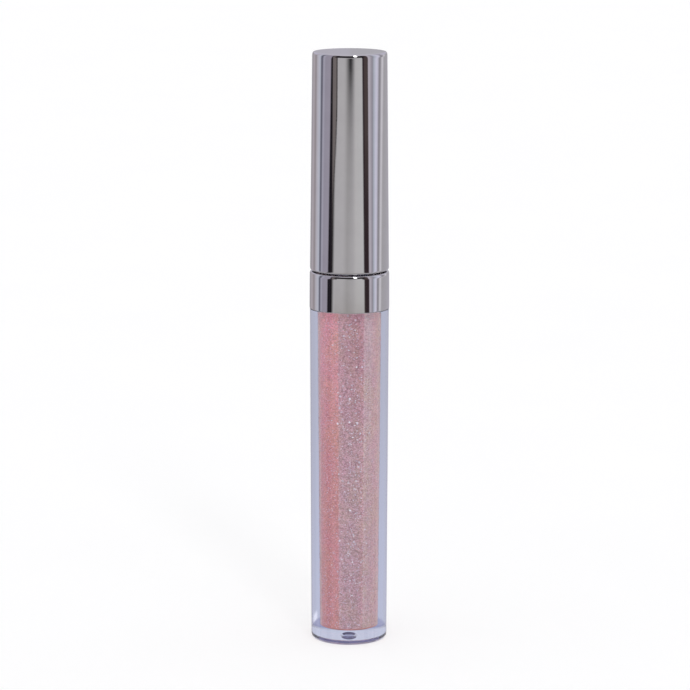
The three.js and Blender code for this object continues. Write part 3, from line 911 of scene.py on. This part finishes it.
# What stands round the tube, as (azimuth in degrees from the camera, to its right, tone).
GREY = tone(167, 166, 167)
LAVENDER = tone(176, 180, 192)
STUDIO = [
    (-180, tone(164, 162, 171)), (-152, tone(146, 143, 147)), (-141, tone(166, 160, 166)),
    (-125, tone(140, 134, 137)), (-115, tone(173, 171, 179)), (-103, LAVENDER),
    (-97.5, tone(92, 92, 104)), (-95, tone(92, 92, 104)), (-90, tone(158, 157, 170)),
    (-83, tone(142, 139, 151)), (-67, tone(146, 142, 154)), (-64, tone(14, 12, 16)),
    (-58, tone(34, 31, 36)), (-52, tone(14, 12, 16)), (-45, GREY), (-20, GREY),
    (-7, tone(153, 152, 152)), (10, tone(163, 162, 163)), (19, tone(174, 173, 173)),
    (41.5, tone(177, 178, 178)), (44, tone(46, 38, 41)), (57.5, tone(44, 34, 37)),
    (61, tone(178, 173, 181)), (71.5, tone(136, 134, 143)), (75.5, tone(164, 170, 180)),
    (81.5, tone(192, 192, 208)), (85.5, tone(190, 189, 203)), (91.5, tone(128, 126, 132)),
    (96, tone(142, 140, 144)), (103, tone(197, 196, 201)), (112, tone(156, 155, 158)),
    (180, tone(164, 162, 171)),
]
MIRROR_GAIN = 1.24  # makes up for what the metallised plastic absorbs
SOFT_LIGHT = 1.0  # the even light on plain surfaces
BOOST = 2.2  # the same light on the gloss, which stands behind clear plastic
LAMP_LIGHT = 5.0
FLOOR_REACH = 6.0  # in metres
DISC_RADIUS = 8.6  # in mm


def mirrored_room(tree, azimuth, up):
    """What the mirror finish sees, by azimuth in degrees and by up, the sine of the elevation."""
    shift = tree.scaled(up, -0.22, -0.06, -0.148, 0.156)
    right = tree.math("ADD", tree.scaled(azimuth, 38, 93, 0.0, 1.84),
                      tree.scaled(azimuth, 93, 125, 0.0, 0.45))
    left = tree.scaled(azimuth, -55, -105, 0.0, 1.0)
    near = tree.math("SUBTRACT", 1.0, tree.math("ADD", right, left))
    parallax = tree.math("ADD", tree.math("MULTIPLY", shift, near), 1.0)
    spread = tree.math("MULTIPLY", azimuth, parallax)
    place = tree.math("ADD", tree.math("DIVIDE", spread, 360), 0.5, clamp=True)
    seen = tree.ramp(place, [((degrees + 180) / 360, colour) for degrees, colour in STUDIO])

    # the panels beside the tube
    raised = tree.step(up, -0.135, -0.09)
    inner = tree.math("SUBTRACT", tree.scaled(raised, 0, 1, -51.5, -36.5), azimuth)
    post = tree.math("MULTIPLY", tree.step(inner, 0.0, 1.72), tree.step(azimuth, -54, -51))
    seen = tree.blend(post, seen, tone(106, 100, 99))
    rim = tree.math("MULTIPLY", tree.fall(inner, 3.15, 4.87), post)
    seen = tree.blend(rim, seen, tone(50, 47, 47))
    door = tree.math("MULTIPLY", tree.band(spread, (47, 49), (58, 60)), raised)
    seen = tree.blend(door, seen, tone(70, 61, 60))

    # the floor, the camera's stand and the dark above it, in front
    off_axis = tree.math("ABSOLUTE", azimuth)
    front = tree.fall(off_axis, 40, 52)
    sunk = tree.math("MULTIPLY", tree.fall(up, -0.175, -0.155), 0.36)
    seen = tree.blend(tree.math("MULTIPLY", front, sunk), seen, tone(105, 96, 64))
    narrow = tree.fall(tree.distance(azimuth, 2.5), 0, 17)
    density = tree.ramp(tree.math("ADD", tree.math("MULTIPLY", up, 10.0), 1.5), [
        (0.15, even(0.0)), (0.4, even(0.16)), (0.52, even(0.3)), (0.65, even(0.58)),
        (0.7, even(0.92)), (0.73, even(1.0)),
    ])
    stand = tree.math("MULTIPLY", narrow, tree.math("MULTIPLY", density, tree.fall(up, -0.06, -0.03)))
    seen = tree.blend(stand, seen, tone(26, 24, 27))
    high = tree.band(up, (0.04, 0.09), (0.62, 0.72))
    seen = tree.blend(tree.math("MULTIPLY", front, high), seen, tone(34, 32, 35))

    # the wall behind, the ceiling, the ground and the lamp
    behind = tree.math("MULTIPLY", tree.step(off_axis, 100, 140), tree.step(up, 0.105, 0.242))
    seen = tree.blend(behind, seen, tone(178, 176, 190))
    seen = tree.blend(tree.step(up, 0.68, 0.8), seen, tone(182, 180, 188))
    seen = tree.blend(tree.fall(up, -0.5, -0.3), seen, tone(150, 149, 152))
    lamp = tree.math("MULTIPLY", tree.fall(tree.distance(azimuth, 18.4), 4, 6),
                     tree.band(up, (0.36, 0.42), (0.74, 0.8)))
    seen = tree.blend(lamp, seen, even(LAMP_LIGHT))
    return tree.times(seen, even(MIRROR_GAIN)[:3])


def backdrop(tree, azimuth, up):
    """What is seen through the clear plastic: lavender, with a highlight and a line low down."""
    down = tree.math("MULTIPLY", up, -1.0)
    ground = tree.blend(tree.step(up, -0.26, -0.18), tone(197, 200, 216), tone(190, 191, 203))
    seen = tree.blend(tree.step(up, 0.0, 0.2), ground, tone(210, 213, 226))
    beam = tree.math("MULTIPLY", tree.fall(tree.distance(azimuth, 120), 4, 13),
                     tree.band(down, (0.2618, 0.2636), (0.265, 0.267)))
    seen = tree.blend(beam, seen, (1.0, 1.0, 1.08, 1.0))
    line = tree.band(down, (0.2645, 0.2656), (0.268, 0.27))
    return tree.blend(line, seen, tone(165, 166, 195))


def studio_world():
    """A room that only reflections see, a backdrop behind the clear plastic, and an even soft light.
    The camera sees a plain pale background."""
    world = bpy.data.worlds.new("studio")
    world.use_nodes = True
    tree = Tree(world.node_tree)
    direction = tree.add("TexCoord").outputs["Generated"]
    east, north, up = tree.add("SeparateXYZ", {0: direction}).outputs
    bearing = tree.math("ARCTAN2", east, tree.math("MULTIPLY", north, -1.0))
    azimuth = tree.math("MULTIPLY", bearing, math.degrees(1))
    path = tree.add("LightPath").outputs
    scattered = tree.math("MINIMUM", path["Diffuse Depth"], 1.0)
    through = tree.math("MINIMUM", path["Transmission Depth"], 1.0)
    soft = tree.blend(through, even(SOFT_LIGHT), even(BOOST))
    sharp = tree.blend(through, mirrored_room(tree, azimuth, up), backdrop(tree, azimuth, up))
    colour = tree.blend(scattered, sharp, soft)
    colour = tree.blend(path["Is Camera Ray"], colour, (0.99, 0.99, 0.995, 1.0))
    background = tree.add("Background", {"Color": colour, "Strength": 1.0})
    tree.add("OutputWorld", {"Surface": background.outputs[0]})
    bpy.context.scene.world = world


def circle(radius, sides):
    return [(radius * math.cos(i * TURN / sides), radius * math.sin(i * TURN / sides), 0)
            for i in range(sides)]


def studio_floor():
    """A wide floor that reflections and the clear plastic don't see, and a disc of it under the
    tube that they do. The disc stands level with the rest and fills its round hole."""
    material = floor_material()
    sides = 64
    inner = circle(DISC_RADIUS * MM, sides)
    outer = circle(FLOOR_REACH, sides)
    ring = [(sides + i, sides + (i + 1) % sides, (i + 1) % sides, i) for i in range(sides)]
    for name, vertices, faces in (("floor_disc", inner, [tuple(range(sides))]),
                                  ("floor", inner + outer, ring)):
        mesh = bpy.data.meshes.new(name)
        mesh.from_pydata(vertices, [], faces)
        mesh.materials.append(material)
        floor = bpy.data.objects.new(name, mesh)
        floor.location.z = -0.1 * MM
        bpy.context.scene.collection.objects.link(floor)
    floor.visible_glossy = False
    floor.visible_transmission = False


def camera():
    """A long lens in front of the tube, looking down at it a little."""
    place = (0, -0.62, 0.178)
    look_down, look_left, tilt = (math.radians(degrees) for degrees in (10.749, 0.081, 0.075))
    data = bpy.data.cameras.new("camera")
    data.lens = 163.7
    data.sensor_width = 36
    data.clip_start = 0.01
    data.clip_end = 50
    view = bpy.data.objects.new("camera", data)
    roll = Matrix.Rotation(tilt, 4, "Z")
    aim = Euler((TURN / 4 - look_down, 0, look_left)).to_matrix().to_4x4()
    view.matrix_world = Matrix.Translation(place) @ aim @ roll
    bpy.context.scene.collection.objects.link(view)
    bpy.context.scene.camera = view


# ------------------------------------------------------------------ build

random = np.random.default_rng(SEED)
camera()
studio_world()
studio_floor()

bottle_piece(clear_material())
gloss_piece(gloss_material())
flake_piece(flake_material(), random)
collar_piece(mirror_material("mirror_on_white", tone(228, 227, 226)))
wiper_piece(milky_material("wiper_plastic", tone(224, 226, 230), 0.35))
shell_piece(mirror_material("mirror_on_grey", tone(74, 74, 78)))
liner_piece(milky_material("liner_plastic", tone(232, 230, 224), 0.4))
gasket_piece(foam_material())
weight_piece(steel_material())
stem_piece(stem_material())
core_piece(core_material())
flock_piece(flock_material(), random)

scene = bpy.context.scene
scene.view_settings.view_transform = "Standard"
scene.cycles.use_denoising = True
scene.cycles.max_bounces = 16
scene.cycles.transmission_bounces = 16
scene.cycles.glossy_bounces = 8
